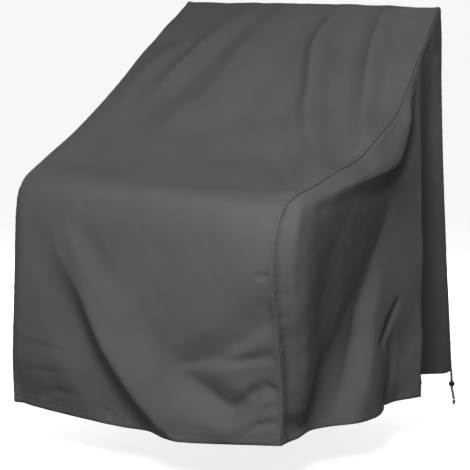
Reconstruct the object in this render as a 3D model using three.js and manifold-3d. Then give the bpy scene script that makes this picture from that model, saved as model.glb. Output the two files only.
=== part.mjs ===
// Fitted cover for a rocking chair, hanging as it drapes when it is on.
// One long strip of coated cloth runs up the front, over the lap, up to the top edge and down the
// back. Two side panels are sewn to its long edges, and a drawcord leaves the hem at the rear right
// corner. Millimetres, +X to the right seen from the front, +Y to the back, +Z up. Sizes are taken
// from the hem: y is behind the fronts of the arms, z is above the hem line. The last group moves
// all of it so that the origin is under the middle of the top edge, where the cover is held.

import * as THREE from 'three';
import { mergeVertices } from 'three/addons/utils/BufferGeometryUtils.js';
import Module from 'manifold-3d';

const CLOTH_THICKNESS = 2;
const SEAM_GAP = 0.3;
const SEAM_X = 393;

// Mesh rows: across the strip, up each drop from hem to edge, and from the front edge to the top.
const STRIP_COLUMNS = 38;
const DROP_ROWS = 16;
const LAP_ROWS = 28;
const EDGE_CROWDING = 1.4;

const CLOTH = { color: 0x4c4c4d, roughness: 0.85, metalness: 0 };
const CORD = { color: 0x1a1a1a, roughness: 0.7, metalness: 0 };
const LOCK = { color: 0x101010, roughness: 0.4, metalness: 0 };

// Profile of the long strip. A row is a station along it, with its [y, z] at the left seam, the
// middle and the right seam, and how far the strip rounds over at its left seam. The cloth is taut
// from the left arm to the top, and dips into the corner behind the right arm.
const STATIONS = [
  { at: 'front hem', left: [-24, -1], middle: [-62, -19], right: [-32, -6], roll: 16 },
  { at: 'low front', left: [-27, 106], middle: [-60, 101], right: [-25, 104], roll: 16 },
  { at: 'mid front', left: [-18, 268], middle: [-55, 264], right: [-46, 268], roll: 16 },
  { at: 'high front', left: [-9, 425], middle: [-44, 420], right: [-68, 416], roll: 16 },
  { at: 'below edge', left: [-3, 495], middle: [-34, 510], right: [-54, 500], roll: 16 },
  { at: 'front edge', left: [11, 541], middle: [-17, 554], right: [-18, 554], roll: 16 },
  { at: 'lap front', left: [43, 571], middle: [14, 570], right: [28, 574], roll: 14 },
  { at: 'lap', left: [128, 615], middle: [120, 580], right: [121, 591], roll: 12 },
  { at: 'mid lap', left: [248, 670], middle: [236, 607], right: [238, 615], roll: 12 },
  { at: 'lap rear', left: [361, 732], middle: [345, 648], right: [344, 635], roll: 12 },
  { at: 'slope foot', left: [456, 790], middle: [445, 708], right: [438, 678], roll: 12 },
  { at: 'low slope', left: [551, 854], middle: [545, 792], right: [549, 736], roll: 11 },
  { at: 'mid slope', left: [622, 895], middle: [618, 858], right: [607, 802], roll: 10 },
  { at: 'high slope', left: [672, 927], middle: [668, 902], right: [652, 856], roll: 9 },
  { at: 'upper slope', left: [717, 951], middle: [714, 942], right: [702, 907], roll: 7 },
  { at: 'below top', left: [763, 981], middle: [764, 982], right: [753, 967], roll: 3 },
  { at: 'top edge', left: [780, 991], middle: [784, 992], right: [780, 990], roll: 0 },
  { at: 'behind top', left: [786, 972], middle: [792, 970], right: [786, 966], roll: 0 },
  { at: 'high back', left: [797, 800], middle: [808, 798], right: [797, 796], roll: 0 },
  { at: 'mid back', left: [812, 613], middle: [828, 613], right: [812, 611], roll: 0 },
  { at: 'low back', left: [835, 398], middle: [852, 398], right: [836, 396], roll: 0 },
  { at: 'above rear hem', left: [862, 178], middle: [874, 176], right: [866, 176], roll: 0 },
  { at: 'rear hem', left: [886, -4], middle: [894, -8], right: [890, -2], roll: 0 },
];

// The strip's sag between its seams: the power of the arch across it, flatter in the middle.
const ARCH_POWER = 2.5;

// The rounding at the left seam: how wide it is, how quickly it falls off, and how much of it also
// pushes the seam outwards.
const LEFT_ROUND = { width: 42, power: 2.5, outwards: 0.6 };

// A fold is a ridge or trough along a bent path over a panel. path is the points that it passes,
// each with the fold's height there (a trough's is below zero). reach is how far it spreads to the
// left and the right of someone walking along it, spread how much wider it is at its end, and sharp
// how much of it comes to a crease on each side.
// Front and back folds lie in [x, z], slope folds in [x, y], and side folds in [y, z].
const FRONT_FOLDS = [
  { is: 'sweep ridge', path: [[-300, 520, 0], [-245, 400, 12], [-170, 310, 21], [-135, 265, 26],
    [-81, 181, 33], [-10, 94, 39], [63, 29, 40], [110, -2, 37], [160, -30, 34]],
    reach: [130, 72], spread: 1.1, sharp: [0.3, 0.5] },
  { is: 'sweep trough', path: [[-295, 490, 0], [-235, 350, -9], [-190, 245, -16], [-140, 150, -22],
    [-75, 75, -25], [15, -20, -24]], reach: [65, 95], spread: 1.3, sharp: [0, 0] },
  { is: 'left hem tuck',
    path: [[-420, -40, -18], [-280, -40, -28], [-150, -40, -24], [-40, -40, 0]],
    reach: [170, 40], spread: 1, sharp: [0, 0] },
  { is: 'high dent', path: [[-215, 490, 0], [-150, 420, -6], [-95, 350, -4]],
    reach: [45, 40], spread: 1, sharp: [0, 0] },
  { is: 'low trough', path: [[396, 305, -8], [300, 238, -15], [250, 203, -16], [200, 181, -15],
    [150, 166, -10], [95, 158, 0]], reach: [34, 95], spread: 0.5, sharp: [0.5, 0.2] },
  { is: 'hem crumple', path: [[100, 163, 0], [150, 135, -10], [205, 100, -16], [262, 62, -18],
    [290, 35, 0]], reach: [60, 50], spread: 1, sharp: [0.6, 0.3] },
  { is: 'seam crumple', path: [[262, 62, -6], [300, 97, -12], [342, 124, -9], [392, 114, -3]],
    reach: [24, 34], spread: 1, sharp: [0.5, 0.3] },
  { is: 'hem swell', path: [[60, 60, 0], [160, 45, 11], [260, 25, 14], [340, 20, 0]],
    reach: [60, 60], spread: 1, sharp: [0, 0] },
];
const SLOPE_FOLDS = [
  { is: 'inner ridge', path: [[118, 785, 10], [108, 705, 36], [106, 660, 46], [113, 620, 49],
    [138, 558, 45], [164, 484, 37], [226, 390, 27], [307, 269, 20], [350, 200, 12], [393, 131, 3]],
    reach: [66, 215], spread: 0.7, sharp: [0.1, 0.7] },
  { is: 'outer ridge', path: [[245, 785, 8], [254, 715, 30], [268, 641, 34], [288, 579, 30],
    [306, 518, 24], [337, 460, 18], [372, 400, 8]],
    reach: [62, 78], spread: 0.8, sharp: [0.1, 0.6] },
  { is: 'left ridge', path: [[-150, 770, 3], [-195, 690, 16], [-225, 620, 25], [-240, 570, 25],
    [-270, 490, 19], [-300, 420, 4]], reach: [60, 70], spread: 1, sharp: [0.2, 0.8] },
  { is: 'left edge ridge', path: [[-285, 660, 0], [-310, 585, 11], [-335, 525, 17],
    [-352, 458, 15], [-345, 361, 8], [-335, 279, 0]],
    reach: [42, 42], spread: 1, sharp: [0.2, 0.6] },
  { is: 'broad ridge', path: [[-70, 760, 5], [-95, 650, 22], [-112, 590, 25], [-130, 500, 22],
    [-178, 400, 17], [-190, 326, 10], [-205, 260, 0]],
    reach: [130, 88], spread: 1, sharp: [0, 0.7] },
  { is: 'lap trough', path: [[110, 440, 0], [160, 340, -9], [235, 250, -11], [290, 185, -10],
    [340, 105, -3]], reach: [34, 50], spread: 1, sharp: [0, 0] },
];
const BACK_FOLDS = [
  { is: 'left hang', path: [[-230, 900, 0], [-215, 500, 6], [-190, -60, 10]],
    reach: [60, 80], spread: 1.4, sharp: [0, 0] },
  { is: 'right hang', path: [[140, 900, 0], [165, 500, -6], [210, -60, -12]],
    reach: [60, 70], spread: 1.4, sharp: [0, 0] },
];
const RIGHT_FOLDS = [
  { is: 'corner column', path: [[4, 540, 0], [12, 470, 10], [14, 400, 19], [14, 314, 28],
    [34, 250, 29], [44, 180, 27], [46, 110, 20], [50, 55, 10], [52, -30, 2]],
    reach: [170, 95], spread: 0.5, sharp: [0.3, 0.1] },
  { is: 'corner pocket', path: [[-10, 30, -8], [50, 26, -12], [105, 34, -12], [150, 50, -4]],
    reach: [40, 45], spread: 1, sharp: [0, 0] },
  { is: 'hollow', path: [[225, 270, 0], [225, 220, -8], [215, 160, -18], [190, 110, -24],
    [165, 70, -20], [150, 35, -10], [140, 0, 0]], reach: [110, 100], spread: 1, sharp: [0, 0] },
  { is: 'tuck', path: [[500, 530, -4], [484, 464, -10], [440, 394, -16], [400, 323, -22],
    [360, 257, -31], [335, 186, -38], [292, 123, -38], [240, 62, -26], [200, 15, -8], [190, -30, 0]],
    reach: [42, 130], spread: 1, sharp: [0.8, 0.7] },
  { is: 'swell', path: [[560, 459, 0], [540, 384, 6], [506, 312, 14], [453, 243, 24],
    [405, 176, 32], [368, 106, 46], [325, 38, 62], [310, -20, 66]],
    reach: [90, 80], spread: 2.5, sharp: [0, 0] },
  { is: 'rear ridge', path: [[660, 800, 6], [640, 709, 16], [628, 607, 26], [622, 452, 36],
    [616, 374, 42], [604, 297, 46], [599, 219, 50], [595, 140, 56], [580, 64, 62], [577, -2, 64],
    [576, -30, 64]], reach: [60, 150], spread: 1.15, sharp: [0.8, 0.5] },
  { is: 'rear recess', path: [[735, 840, -8], [745, 700, -20], [758, 584, -28], [770, 423, -34],
    [776, 260, -37], [784, 96, -48], [786, -30, -58]],
    reach: [78, 125], spread: 0.9, sharp: [0, 0.4] },
  { is: 'arm crest', path: [[60, 566, 6], [180, 580, 11], [300, 590, 16], [400, 598, 25],
    [470, 612, 30], [520, 655, 26], [560, 705, 18], [598, 755, 6]],
    reach: [60, 36], spread: 1, sharp: [0, 0.6] },
  { is: 'under arm', path: [[280, 556, 0], [350, 566, -8], [430, 576, -16], [500, 600, -22],
    [560, 650, -20], [600, 720, -12], [612, 780, -4]], reach: [30, 60], spread: 1, sharp: [0, 0] },
];
const LEFT_FOLDS = [
  { is: 'corner roll', path: [[-4, 545, 6], [4, 300, 10], [10, -60, 12]],
    reach: [45, 45], spread: 1, sharp: [0, 0] },
  { is: 'front trough', path: [[150, 560, -4], [130, 300, -12], [110, -60, -20]],
    reach: [60, 60], spread: 1.3, sharp: [0, 0] },
  { is: 'swell', path: [[420, 700, 6], [360, 350, 22], [300, -60, 44]],
    reach: [90, 100], spread: 1.5, sharp: [0, 0] },
  { is: 'rear trough', path: [[600, 820, -4], [560, 400, -16], [530, -60, -30]],
    reach: [70, 60], spread: 1.4, sharp: [0, 0] },
  { is: 'rear ridge', path: [[710, 860, 4], [690, 450, 14], [680, -60, 30]],
    reach: [60, 60], spread: 1.4, sharp: [0, 0] },
];

// How the side panels roll outwards from their seams. A row is a place along the seam from the
// front edge of the arm (0) to the top (1), with the height of the roll there.
const RIGHT_ROLL = [
  { at: 0, height: 30 }, { at: 0.12, height: 36 }, { at: 0.32, height: 34 }, { at: 0.5, height: 22 },
  { at: 0.62, height: 9 }, { at: 0.75, height: 6 }, { at: 1, height: 4 },
];
const LEFT_ROLL = [
  { at: 0, height: 26 }, { at: 0.3, height: 20 }, { at: 0.6, height: 10 }, { at: 1, height: 4 },
];
const ROLL_RADIUS = 16;
const ROLL_FADE = { from: 40, over: 340 };
const SEAM_EASE = 28;

const clamp = (value) => Math.min(1, Math.max(0, value));
const smooth = (value) => clamp(value) ** 2 * (3 - 2 * clamp(value));
const mix = (a, b, share) => a + (b - a) * share;

// A smooth curve through rows of [place, value], read at one place.
function through(rows, place) {
  let last = rows.length - 2;
  while (last > 0 && rows[last][0] > place) last -= 1;
  const slope = (index) => {
    const before = Math.max(0, index - 1);
    const after = Math.min(rows.length - 1, index + 1);
    const rise = (a, b) => (rows[b][1] - rows[a][1]) / (rows[b][0] - rows[a][0]);
    if (before === index) return rise(index, after);
    if (after === index) return rise(before, index);
    const share = (rows[index][0] - rows[before][0]) / (rows[after][0] - rows[before][0]);
    return mix(rise(before, index), rise(index, after), share);
  };
  const span = rows[last + 1][0] - rows[last][0];
  const t = clamp((place - rows[last][0]) / span);
  const ease = t * t * (3 - 2 * t);
  return mix(rows[last][1], rows[last + 1][1], ease)
    + span * (t * (1 - t) ** 2 * slope(last) - t * t * (1 - t) * slope(last + 1));
}

// The distance along the strip of each station, measured on the right seam.
const RUN = STATIONS.reduce((runs, row, index) => {
  const before = STATIONS[Math.max(0, index - 1)].right;
  const step = Math.hypot(row.right[0] - before[0], row.right[1] - before[1]);
  return [...runs, (runs[index - 1] ?? 0) + step];
}, []);
const runAt = (name) => RUN[STATIONS.findIndex((row) => row.at === name)];
const EDGE_RUN = runAt('front edge');
const TOP_RUN = runAt('top edge');
const END_RUN = runAt('rear hem');
const PROFILES = ['left', 'middle', 'right'].map((side) => [0, 1].map(
  (axis) => STATIONS.map((row, index) => [RUN[index], row[side][axis]])));
const ROLLS = STATIONS.map((row, index) => [RUN[index], row.roll]);

// A point of the strip before its folds: across is 0 at the left seam and 1 at the right.
function stripBase(across, run) {
  const arch = 1 - Math.abs(2 * across - 1) ** ARCH_POWER;
  const [y, z] = [0, 1].map((axis) => {
    const [left, middle, right] = PROFILES.map((profile) => through(profile[axis], run));
    return mix(left, right, across) + (middle - (left + right) / 2) * arch;
  });
  const leftSeam = -SEAM_X - LEFT_ROUND.outwards * through(ROLLS, run);
  return new THREE.Vector3(mix(leftSeam, SEAM_X, across), y, z);
}

// A fold's path as short straight steps, each with its two ends [a, b, rise].
const STEPS_BETWEEN = 3;
function pathSteps({ path }) {
  const columns = [0, 1, 2].map((axis) => path.map((stop, index) => [index, stop[axis]]));
  const places = Array.from({ length: (path.length - 1) * STEPS_BETWEEN + 1 },
    (_, step) => columns.map((column) => through(column, step / STEPS_BETWEEN)));
  return places.slice(1).map((end, step) => ({ start: places[step], end }));
}
const laidOut = (folds) => folds.map((fold) => ({ ...fold, steps: pathSteps(fold) }));

// How far a fold lifts the cloth at a point of its panel.
function foldLift({ steps, reach, spread, sharp }, a, b) {
  let best = { distance: Infinity };
  steps.forEach(({ start, end }, step) => {
    const [da, db] = [end[0] - start[0], end[1] - start[1]];
    const share = clamp(((a - start[0]) * da + (b - start[1]) * db) / (da * da + db * db));
    const distance = Math.hypot(a - start[0] - share * da, b - start[1] - share * db);
    if (distance < best.distance) {
      best = {
        distance,
        rise: mix(start[2], end[2], share),
        at: (step + share) / steps.length,
        side: da * (b - start[1]) - db * (a - start[0]) > 0 ? 0 : 1,
      };
    }
  });
  const inside = clamp(best.distance / (reach[best.side] * mix(1, spread, best.at)));
  return best.rise * mix((1 - inside ** 2) ** 2, (1 - inside) ** 2, sharp[best.side]);
}
const foldsLift = (folds, a, b) => folds.reduce((sum, fold) => sum + foldLift(fold, a, b), 0);

// The outward direction of a surface, from its points a little further along both of its ways.
function outward(pointAt, a, b, stepA, stepB) {
  const along = pointAt(a + stepA, b).sub(pointAt(a - stepA, b));
  const up = pointAt(a, b + stepB).sub(pointAt(a, b - stepB));
  return along.cross(up).normalize();
}

// A point of the strip with its folds. They fade at the seams, the front edge and the top edge.
const ACROSS_STEP = 0.004;
const RUN_STEP = 3;
const FADE_IN = 60;
const FADE_OUT = 30;
const [FRONT, SLOPE, BACK] = [FRONT_FOLDS, SLOPE_FOLDS, BACK_FOLDS].map(laidOut);
function stripPoint(across, run) {
  const point = stripBase(across, run);
  const ease = smooth((Math.min(across, 1 - across) * 2 * SEAM_X) / SEAM_EASE);
  const fadesIn = (start) => smooth((run - start) / FADE_IN);
  const fadesOut = (end) => 1 - smooth((run - end + FADE_OUT) / FADE_OUT);
  const lift = [
    { folds: FRONT, presence: fadesOut(EDGE_RUN), b: point.z },
    { folds: SLOPE, presence: fadesIn(EDGE_RUN) * fadesOut(TOP_RUN), b: point.y },
    { folds: BACK, presence: fadesIn(TOP_RUN), b: point.z },
  ].reduce((sum, { folds, presence, b }) => (
    presence > 0 ? sum + presence * foldsLift(folds, point.x, b) : sum), 0);
  const leftShare = 1 - across - (1 - Math.abs(2 * across - 1) ** ARCH_POWER) / 2;
  const fromLeft = clamp((across * 2 * SEAM_X) / LEFT_ROUND.width);
  const rounded = through(ROLLS, run) * leftShare * (1 - (1 - fromLeft) ** LEFT_ROUND.power);
  const normal = outward(stripBase, across, run, ACROSS_STEP, RUN_STEP);
  return point.addScaledVector(normal, lift * ease + rounded);
}

// A point of a side panel: back is 0 at the front seam and 1 at the rear seam, up is 0 at the hem
// and 1 at the seam over the arm and the slope. side is 1 for the right panel and -1 for the left.
const SIDES = {
  1: { folds: laidOut(RIGHT_FOLDS), roll: RIGHT_ROLL, across: 1 },
  '-1': { folds: laidOut(LEFT_FOLDS), roll: LEFT_ROLL, across: 0 },
};
function sidePoint(side, back, up) {
  const { folds, roll, across } = SIDES[side];
  const front = stripBase(across, up * EDGE_RUN);
  const rear = stripBase(across, END_RUN - up * (END_RUN - TOP_RUN));
  const over = stripBase(across, mix(EDGE_RUN, TOP_RUN, back));
  const [hemFront, hemRear] = [stripBase(across, 0), stripBase(across, END_RUN)];
  const [edge, top] = [stripBase(across, EDGE_RUN), stripBase(across, TOP_RUN)];
  const share = (over.y - edge.y) / (top.y - edge.y);
  const hemZ = mix(hemFront.z, hemRear.z, share);
  const y = mix(front.y, rear.y, share);
  const z = mix(hemZ, over.z, up) + mix(front.z, rear.z, share)
    - mix(hemZ, mix(edge.z, top.z, share), up);
  const below = over.z - z;
  const inset = Math.min(y - front.y, rear.y - y);
  const height = through(roll.map((row) => [row.at, row.height]), back);
  const rolled = height * (1 - Math.exp(-Math.max(0, below) / ROLL_RADIUS))
    * (1 - smooth((below - ROLL_FADE.from) / ROLL_FADE.over)) * smooth(inset / SEAM_EASE);
  const ease = smooth(inset / SEAM_EASE) * smooth(below / SEAM_EASE);
  const seamX = side * (mix(front.x, rear.x, share) + up * (over.x - mix(edge.x, top.x, share)));
  const x = seamX + rolled + foldsLift(folds, y, z) * ease;
  return new THREE.Vector3(side * x, y, z);
}

// The mesh rows, shared by the strip and the side panels so that their seams match. Rows crowd
// towards the top of each drop, where the cloth rolls over the arm.
const count = (steps) => Array.from({ length: steps + 1 }, (_, index) => index / steps);
const UPS = count(DROP_ROWS).map((share) => 1 - (1 - share) ** EDGE_CROWDING);
const BACKS = count(LAP_ROWS);
const STRIP_RUNS = [
  ...UPS.map((up) => up * EDGE_RUN),
  ...BACKS.slice(1).map((back) => mix(EDGE_RUN, TOP_RUN, back)),
  ...UPS.toReversed().slice(1).map((up) => END_RUN - up * (END_RUN - TOP_RUN)),
];

// The outward direction of a side panel. INSET is a small step in its shares back and up.
const INSET = 0.004;
const sideOutward = (side, back, up) => outward(
  (a, b) => sidePoint(side, a, b), back, up, INSET, INSET).multiplyScalar(side);

// At a seam both sheets end on one mitred face, half a gap to each side of it. This gives the
// seam's outer point, its inner point, and the way across it, away from the strip.
function seam(side, run, back, up) {
  const { across } = SIDES[side];
  const inside = (value) => Math.min(1 - INSET, Math.max(INSET, value));
  const point = stripBase(across, run);
  const inRun = Math.min(END_RUN - RUN_STEP, Math.max(RUN_STEP, run));
  const tangent = stripBase(across, inRun + RUN_STEP).sub(stripBase(across, inRun - RUN_STEP));
  const mean = outward(stripPoint, inside(across), run, INSET, RUN_STEP)
    .add(sideOutward(side, inside(back), inside(up))).normalize();
  const apart = tangent.cross(mean).normalize();
  if (apart.x * side < 0) apart.negate();
  return { outer: point, inner: point.clone().addScaledVector(mean, -CLOTH_THICKNESS), apart };
}

// The outer and inner point at each place of a panel's mesh.
function stripGrid() {
  const shares = count(STRIP_COLUMNS);
  return shares.map((across) => STRIP_RUNS.map((run) => {
    if (across === 0 || across === 1) {
      return atSeam(across === 0 ? -1 : 1, run, -1);
    }
    const outer = stripPoint(across, run);
    const normal = outward(stripPoint, across, run, ACROSS_STEP, RUN_STEP);
    return { outer, inner: outer.clone().addScaledVector(normal, -CLOTH_THICKNESS) };
  }));
}
function sideGrid(side) {
  return BACKS.map((back) => UPS.map((up) => {
    if (back === 0) return atSeam(side, up * EDGE_RUN, 1);
    if (back === 1) return atSeam(side, END_RUN - up * (END_RUN - TOP_RUN), 1);
    if (up === 1) return atSeam(side, mix(EDGE_RUN, TOP_RUN, back), 1);
    const outer = sidePoint(side, back, up);
    const normal = sideOutward(side, back, Math.max(up, INSET));
    return { outer, inner: outer.clone().addScaledVector(normal, -CLOTH_THICKNESS) };
  }));
}
function atSeam(side, run, way) {
  const back = clamp((run - EDGE_RUN) / (TOP_RUN - EDGE_RUN));
  const up = Math.min(clamp(run / EDGE_RUN), clamp((END_RUN - run) / (END_RUN - TOP_RUN)));
  const { outer, inner, apart } = seam(side, run, back, up);
  const shift = apart.multiplyScalar((way * SEAM_GAP) / 2);
  return { outer: outer.add(shift), inner: inner.add(shift) };
}

// A closed sheet from a grid: its outer face, its inner face, and a rim all round. turned is true
// where the grid's two ways are the other way round seen from outside. leaning picks the rim's
// diagonals, so that two sheets at one seam have the same ones.
function sheet(grid, turned, leaning) {
  const [columns, rows] = [grid.length, grid[0].length];
  const positions = ['outer', 'inner'].flatMap((face) => grid.flat().flatMap(
    (place) => place[face].toArray()));
  const outer = (i, j) => i * rows + j;
  const inner = (i, j) => columns * rows + outer(i, j);
  const faces = [];
  const add = (a, b, c) => faces.push(...(turned ? [a, c, b] : [a, b, c]));
  for (let i = 0; i + 1 < columns; i += 1) {
    for (let j = 0; j + 1 < rows; j += 1) {
      add(outer(i, j), outer(i + 1, j), outer(i + 1, j + 1));
      add(outer(i, j), outer(i + 1, j + 1), outer(i, j + 1));
      add(inner(i, j), inner(i + 1, j + 1), inner(i + 1, j));
      add(inner(i, j), inner(i, j + 1), inner(i + 1, j + 1));
    }
  }
  const rim = [
    ...grid.slice(1).map((_, i) => [i, 0, i + 1, 0]),
    ...grid[0].slice(1).map((_, j) => [columns - 1, j, columns - 1, j + 1]),
    ...grid.slice(1).map((_, i) => [i + 1, rows - 1, i, rows - 1]),
    ...grid[0].slice(1).map((_, j) => [0, j + 1, 0, j]),
  ];
  for (const [i0, j0, i1, j1] of rim) {
    const [a, b, c, d] = [outer(i0, j0), outer(i1, j1), inner(i1, j1), inner(i0, j0)];
    if (leaning) {
      add(b, a, d);
      add(b, d, c);
    } else {
      add(a, d, c);
      add(a, c, b);
    }
  }
  const geometry = new THREE.BufferGeometry();
  geometry.setAttribute('position', new THREE.Float32BufferAttribute(positions, 3));
  geometry.setIndex(faces);
  geometry.computeVertexNormals();
  return geometry;
}

function piece(name, geometry, finish) {
  const mesh = new THREE.Mesh(geometry, new THREE.MeshStandardMaterial(finish));
  mesh.name = name;
  return mesh;
}

// The drawcord: two strands leave the hem at the rear right corner, pass through a round lock side
// by side and end in one knot with two short tips. Each strand's points are [x, y, z].
const CORD_DIAMETER = 3;
const CORD_SIDES = 8;
const CORD_STEPS = 12;
const STRAND_A = [
  [391.5, 886.2, -4.5], [391.8, 886.4, -12], [392.4, 886.8, -24], [393, 887.2, -38],
  [393.5, 887.5, -50], [395.6, 889, -66], [398.6, 891, -82.5],
];
const STRAND_B = [
  [394.8, 888.2, -4.5], [395, 888.4, -12], [395.6, 888.8, -24], [396.2, 889.2, -38],
  [396.8, 889.5, -50], [400, 891.3, -66], [402.2, 892.8, -82.5],
];
const LOCK_AT = [394.6, 888.2, -38];
const LOCK_RADIUS = 8.2;
const LOCK_BORE_RADIUS = 4.1;
const LOCK_SIDES = 24;
const LOCK_ROWS = 10;
const KNOT_AT = [400.4, 892.1, -88];
const KNOT_RADII = [5, 4.25, 4.5];
const KNOT_SIDES = 14;
const KNOT_ROWS = 10;
const TIP_LENGTH = 9;
const TIP_SUNK = 1;
const TIP_SPREAD = 2.2;

const point = ([x, y, z]) => new THREE.Vector3(x, y, z);

function strand(points) {
  const section = new THREE.Shape(count(CORD_SIDES).slice(1).map((share) => new THREE.Vector2(
    Math.cos(share * 2 * Math.PI), Math.sin(share * 2 * Math.PI)).multiplyScalar(CORD_DIAMETER / 2)));
  const extrudePath = new THREE.CatmullRomCurve3(points.map(point));
  return new THREE.ExtrudeGeometry(section, { steps: CORD_STEPS, extrudePath });
}

function lockBall() {
  const half = Math.sqrt(LOCK_RADIUS ** 2 - LOCK_BORE_RADIUS ** 2);
  const low = Math.atan2(-half, LOCK_BORE_RADIUS);
  const outline = count(LOCK_ROWS).map((share) => {
    const angle = mix(low, -low, share);
    return new THREE.Vector2(Math.cos(angle), Math.sin(angle)).multiplyScalar(LOCK_RADIUS);
  });
  const ball = new THREE.LatheGeometry([...outline, outline[0].clone()], LOCK_SIDES);
  return ball.rotateX(Math.PI / 2).translate(...LOCK_AT);
}

// The knot is one body with its two tips. Points closer than MERGE_WITHIN are one.
const MERGE_WITHIN = 1e-4;
const wasm = await Module();
wasm.setup();
function solid(geometry) {
  const bare = geometry.clone();
  bare.deleteAttribute('normal');
  bare.deleteAttribute('uv');
  const merged = mergeVertices(bare, MERGE_WITHIN);
  return new wasm.Manifold(new wasm.Mesh({
    numProp: 3, vertProperties: merged.attributes.position.array, triVerts: merged.index.array,
  }));
}
function geometryOf(body) {
  const { vertProperties, triVerts } = body.getMesh();
  const geometry = new THREE.BufferGeometry();
  geometry.setAttribute('position', new THREE.Float32BufferAttribute(vertProperties, 3));
  geometry.setIndex([...triVerts]);
  geometry.computeVertexNormals();
  return geometry;
}
function knot() {
  const ball = new THREE.SphereGeometry(1, KNOT_SIDES, KNOT_ROWS).rotateX(Math.PI / 2);
  ball.scale(...KNOT_RADII);
  const tips = [-1, 1].map((way) => {
    const tip = new THREE.CylinderGeometry(CORD_DIAMETER / 2, CORD_DIAMETER / 2, TIP_LENGTH, CORD_SIDES);
    return tip.rotateX(Math.PI / 2).translate(way * TIP_SPREAD, 0, -TIP_LENGTH / 2 - TIP_SUNK);
  });
  const whole = tips.reduce((body, tip) => body.add(solid(tip)), solid(ball));
  return geometryOf(whole).translate(...KNOT_AT);
}

// The origin: under the middle of the top edge, where the cover hangs on what it covers.
const HELD_AT = { y: 784, z: 989.5 };

const cover = new THREE.Group();
cover.position.set(0, -HELD_AT.y, -HELD_AT.z);
cover.add(piece('main_panel', sheet(stripGrid(), false, false), CLOTH));
cover.add(piece('side_panel_right', sheet(sideGrid(1), false, true), CLOTH));
cover.add(piece('side_panel_left', sheet(sideGrid(-1), true, false), CLOTH));
cover.add(piece('drawcord_a', strand(STRAND_A), CORD));
cover.add(piece('drawcord_b', strand(STRAND_B), CORD));
cover.add(piece('cord_lock', lockBall(), LOCK));
cover.add(piece('cord_knot', knot(), CORD));

const group = new THREE.Group();
group.add(cover);
export default group;
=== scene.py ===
import math
from collections import namedtuple

import bmesh
import bpy
import numpy as np
from mathutils import Matrix, Vector


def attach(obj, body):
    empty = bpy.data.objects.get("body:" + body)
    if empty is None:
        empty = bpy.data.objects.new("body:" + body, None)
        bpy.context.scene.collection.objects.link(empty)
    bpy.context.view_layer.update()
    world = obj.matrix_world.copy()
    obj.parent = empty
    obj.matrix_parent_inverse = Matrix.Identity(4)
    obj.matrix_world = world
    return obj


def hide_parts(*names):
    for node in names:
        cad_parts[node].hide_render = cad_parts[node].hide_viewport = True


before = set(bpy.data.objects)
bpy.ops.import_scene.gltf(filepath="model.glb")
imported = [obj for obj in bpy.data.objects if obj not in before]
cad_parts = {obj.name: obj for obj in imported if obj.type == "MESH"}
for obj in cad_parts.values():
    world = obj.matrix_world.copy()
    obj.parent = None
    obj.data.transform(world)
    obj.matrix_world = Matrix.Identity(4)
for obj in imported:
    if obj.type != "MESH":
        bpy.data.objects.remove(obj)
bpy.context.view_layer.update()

# The cover is seen from its front right, a little from above, through a long lens that keeps its
# upright edges upright. The target is in the row frame, in metres, and the picture is square.
AZIMUTH, ELEVATION, DISTANCE = math.radians(31.9), math.radians(8.7), 5.0
TARGET = Vector((-0.0024, -0.384, -0.5837))
LENS, SENSOR = 146.99, 36

away = Vector((math.sin(AZIMUTH) * math.cos(ELEVATION), -math.cos(AZIMUTH) * math.cos(ELEVATION),
               math.sin(ELEVATION)))
lens = bpy.data.cameras.new("long_lens")
lens.lens, lens.sensor_width = LENS, SENSOR
camera = bpy.data.objects.new("camera", lens)
camera.location = TARGET + away * DISTANCE
camera.rotation_euler = away.to_track_quat("Z", "Y").to_euler()
bpy.context.scene.collection.objects.link(camera)
bpy.context.scene.camera = camera

# The drawcord runs inside the hem, and its two ends leave it at the rear right corner. It is black
# braided polyester, 3 mm thick and limp, so both strands hang straight down side by side.
# Sizes are millimetres from the hem, and held_frame moves them to the origin under the top edge.
HELD_AT = np.array([0, 784, 989.5])
CORD_DIAMETER = 3
CORD_SIDES, CORD_RING_STEP = 16, 0.45
SAME_PLACE = 1e-6
BRAID_TURN, BRAID_DEPTH, BRAID_YARNS = 9, 0.13, 4
NO_CORDS_WAY = (0.3, 0.9, 0.1)
BRAID_DARK, BRAID_DUSTY = (0.010, 0.010, 0.011, 1), (0.026, 0.026, 0.027, 1)
STRAND_A = [(391.5, 886.2, 1), (391.8, 886.4, -4.5), (392.1, 886.6, -12), (392.7, 887, -24),
            (393.3, 887.4, -38), (393.8, 887.7, -50), (396.4, 889.4, -66), (399, 891.2, -82.5)]
STRAND_B = [(394.2, 887.8, 1), (394.4, 888, -4.5), (394.7, 888.2, -12), (395.3, 888.6, -24),
            (395.9, 889, -38), (396.5, 889.3, -50), (399.2, 890.9, -66), (401.8, 892.6, -82.5)]


def held_frame(points):
    """Points in the row frame, in metres, from millimetres measured at the hem."""
    return (np.asarray(points, float) - HELD_AT) / 1000


def through(rows, place):
    """A smooth curve through rows of (place, value), read at an array of places."""
    at, value = (np.array(column, float) for column in zip(*rows))
    slope = np.gradient(value, at)
    last = np.clip(np.searchsorted(at, place, side="right") - 1, 0, len(at) - 2)
    span = at[last + 1] - at[last]
    t = np.clip((place - at[last]) / span, 0, 1)
    ease = t * t * (3 - 2 * t)
    bend = t * (1 - t) ** 2 * slope[last] - t * t * (1 - t) * slope[last + 1]
    return value[last] + (value[last + 1] - value[last]) * ease + span * bend


def smooth_path(points, step):
    """A smooth curve through points, read every step millimetres."""
    points = np.array(points, float)
    at = np.concatenate([[0], np.cumsum(np.linalg.norm(np.diff(points, axis=0), axis=1))])
    places = np.linspace(0, at[-1], max(2, round(at[-1] / step) + 1))
    return np.stack([through(list(zip(at, points[:, axis])), places) for axis in range(3)], -1)


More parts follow.
